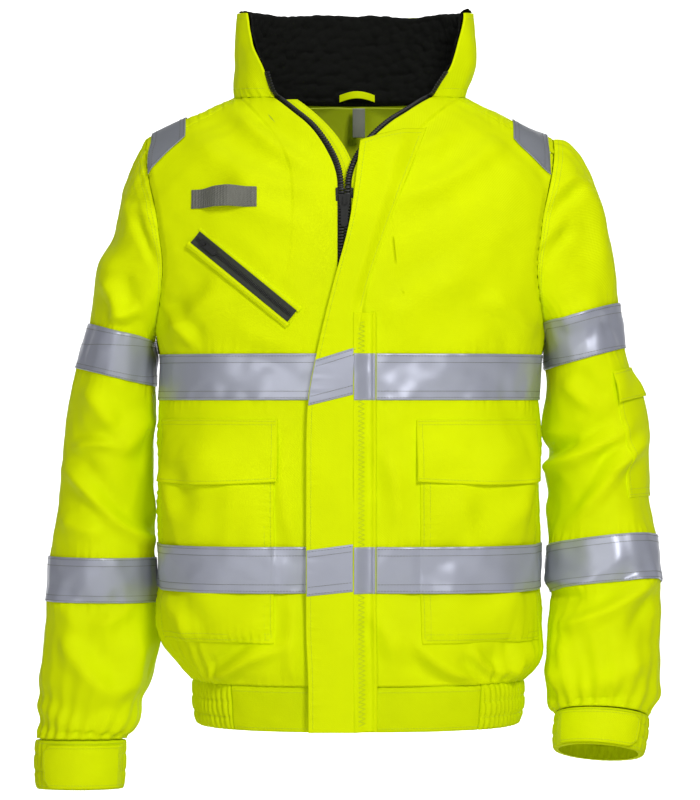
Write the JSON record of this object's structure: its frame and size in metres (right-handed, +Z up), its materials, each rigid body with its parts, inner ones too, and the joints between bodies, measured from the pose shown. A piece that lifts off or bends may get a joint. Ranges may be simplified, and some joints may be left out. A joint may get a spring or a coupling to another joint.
{
  "type": "foul weather jacket",
  "caption": "Padded high-visibility waist-length foul weather jacket with stand-up fleece collar, storm flap over a zip, flap pockets, reflective tape and elastic hem.",
  "frame": {"origin": "middle of the neck opening, level with the back of the collar seam", "axes": "+Z up as worn, +X towards the wearer's left, -Y towards the front"},
  "size_m": [0.7003, 0.3115, 0.8712],
  "materials": {
    "shell": "coated woven polyester, dull sheen",
    "lining": "quilted woven lining",
    "fleece": "bumpy pile fleece",
    "tape": "satin retroreflective",
    "strap": "woven webbing",
    "black": "moulded, satin",
    "zip_cloth": "woven zip tape",
    "label": "smooth printed satin, left blank"
  },
  "bodies": {
    "body": {"right_front_shell": "shell", "left_front_shell": "shell", "back_shell": "shell", "right_front_lining": "lining", "left_front_lining": "lining", "back_lining": "lining", "right_hem_band": "shell", "left_hem_band": "shell", "hem_elastic": "shell", "collar_shell": "shell", "collar_fleece": "fleece", "hanger_loop": "shell", "neck_label": "label", "chest_tape_right": "tape", "chest_tape_left": "tape", "chest_tape_back": "tape", "waist_tape_right": "tape", "waist_tape_left": "tape", "waist_tape_back": "tape", "brace_tape_right": "tape", "brace_tape_left": "tape", "right_pocket": "shell", "left_pocket": "shell", "main_zip_right": "black", "main_zip_left": "black", "zip_facing": "shell", "zip_bottom_box": "black", "storm_flap_top": "shell", "storm_flap_seam": "shell", "chest_zip": "zip_cloth", "radio_loop": "strap", "right_upper_sleeve": "shell", "right_upper_lining": "lining", "right_upper_tape": "tape", "left_upper_sleeve": "shell", "left_upper_lining": "lining", "left_upper_tape": "tape", "arm_pocket": "shell"},
    "storm_flap": {"storm_flap": "shell", "chest_tape_flap": "tape", "waist_tape_flap": "tape"},
    "zip_slider": {"main_zip_slider": "black"},
    "zip_puller": {"main_zip_puller": "black"},
    "chest_slider": {"chest_zip_slider": "black"},
    "chest_puller": {"chest_zip_puller": "black"},
    "right_pocket_flap": {"right_pocket_flap": "shell"},
    "left_pocket_flap": {"left_pocket_flap": "shell"},
    "right_forearm": {"right_forearm_sleeve": "shell", "right_forearm_lining": "lining", "right_forearm_tape": "tape", "right_cuff": "shell"},
    "right_cuff_tab": {"right_cuff_tab": "shell"},
    "left_forearm": {"left_forearm_sleeve": "shell", "left_forearm_lining": "lining", "left_forearm_tape": "tape", "left_cuff": "shell"},
    "left_cuff_tab": {"left_cuff_tab": "shell"},
    "arm_pocket_flap": {"arm_pocket_flap": "shell"}
  },
  "joints": [
    {"name": "storm_flap_hinge", "type": "hinge", "parent": "body", "child": "storm_flap", "pos_m": [0.004, -0.1598, -0.48], "axis": [0, 0, 1], "range_deg": [0, 150]},
    {"name": "main_zip_slide", "type": "slide", "parent": "body", "child": "zip_slider", "axis": [0, 0, -1], "range_m": [0, 0.545]},
    {"name": "main_puller_swing", "type": "hinge", "parent": "zip_slider", "child": "zip_puller", "pos_m": [-0.006, -0.1541, -0.12845], "axis": [-1, 0, 0], "range_deg": [0, 100]},
    {"name": "chest_zip_run", "type": "hinge", "parent": "body", "child": "chest_slider", "pos_m": [-0.03632, 0.39366, -0.27753], "axis": [0.6349, 0.006, 0.7725], "range_deg": [0, 11.8]},
    {"name": "chest_puller_swing", "type": "hinge", "parent": "chest_slider", "child": "chest_puller", "pos_m": [-0.1593, -0.13328, -0.17238], "axis": [-0.6349, -0.006, -0.7725], "range_deg": [0, 100]},
    {"name": "right_pocket_flap_lift", "type": "hinge", "parent": "body", "child": "right_pocket_flap", "pos_m": [-0.15605, -0.11956, -0.363], "axis": [-0.8323, 0.5543, 0], "range_deg": [0, 75]},
    {"name": "left_pocket_flap_lift", "type": "hinge", "parent": "body", "child": "left_pocket_flap", "pos_m": [0.15605, -0.11956, -0.363], "axis": [-0.8323, -0.5543, 0], "range_deg": [0, 75]},
    {"name": "right_elbow", "type": "hinge", "parent": "body", "child": "right_forearm", "pos_m": [-0.276, -0.047, -0.478], "axis": [-1, 0, 0], "range_deg": [0, 45]},
    {"name": "right_cuff_tab_peel", "type": "hinge", "parent": "right_forearm", "child": "right_cuff_tab", "pos_m": [-0.2541, -0.01126, -0.75], "axis": [0.0449, 0.0243, 0.9987], "range_deg": [0, 60]},
    {"name": "left_elbow", "type": "hinge", "parent": "body", "child": "left_forearm", "pos_m": [0.28, -0.064, -0.474], "axis": [-1, 0, 0], "range_deg": [0, 45]},
    {"name": "left_cuff_tab_peel", "type": "hinge", "parent": "left_forearm", "child": "left_cuff_tab", "pos_m": [0.22688, -0.07621, -0.70206], "axis": [-0.0839, -0.3161, -0.945], "range_deg": [0, 60]},
    {"name": "arm_pocket_flap_lift", "type": "hinge", "parent": "body", "child": "arm_pocket_flap", "pos_m": [0.31746, -0.00474, -0.3042], "axis": [0, -1, 0], "range_deg": [0, 55]}
  ]
}
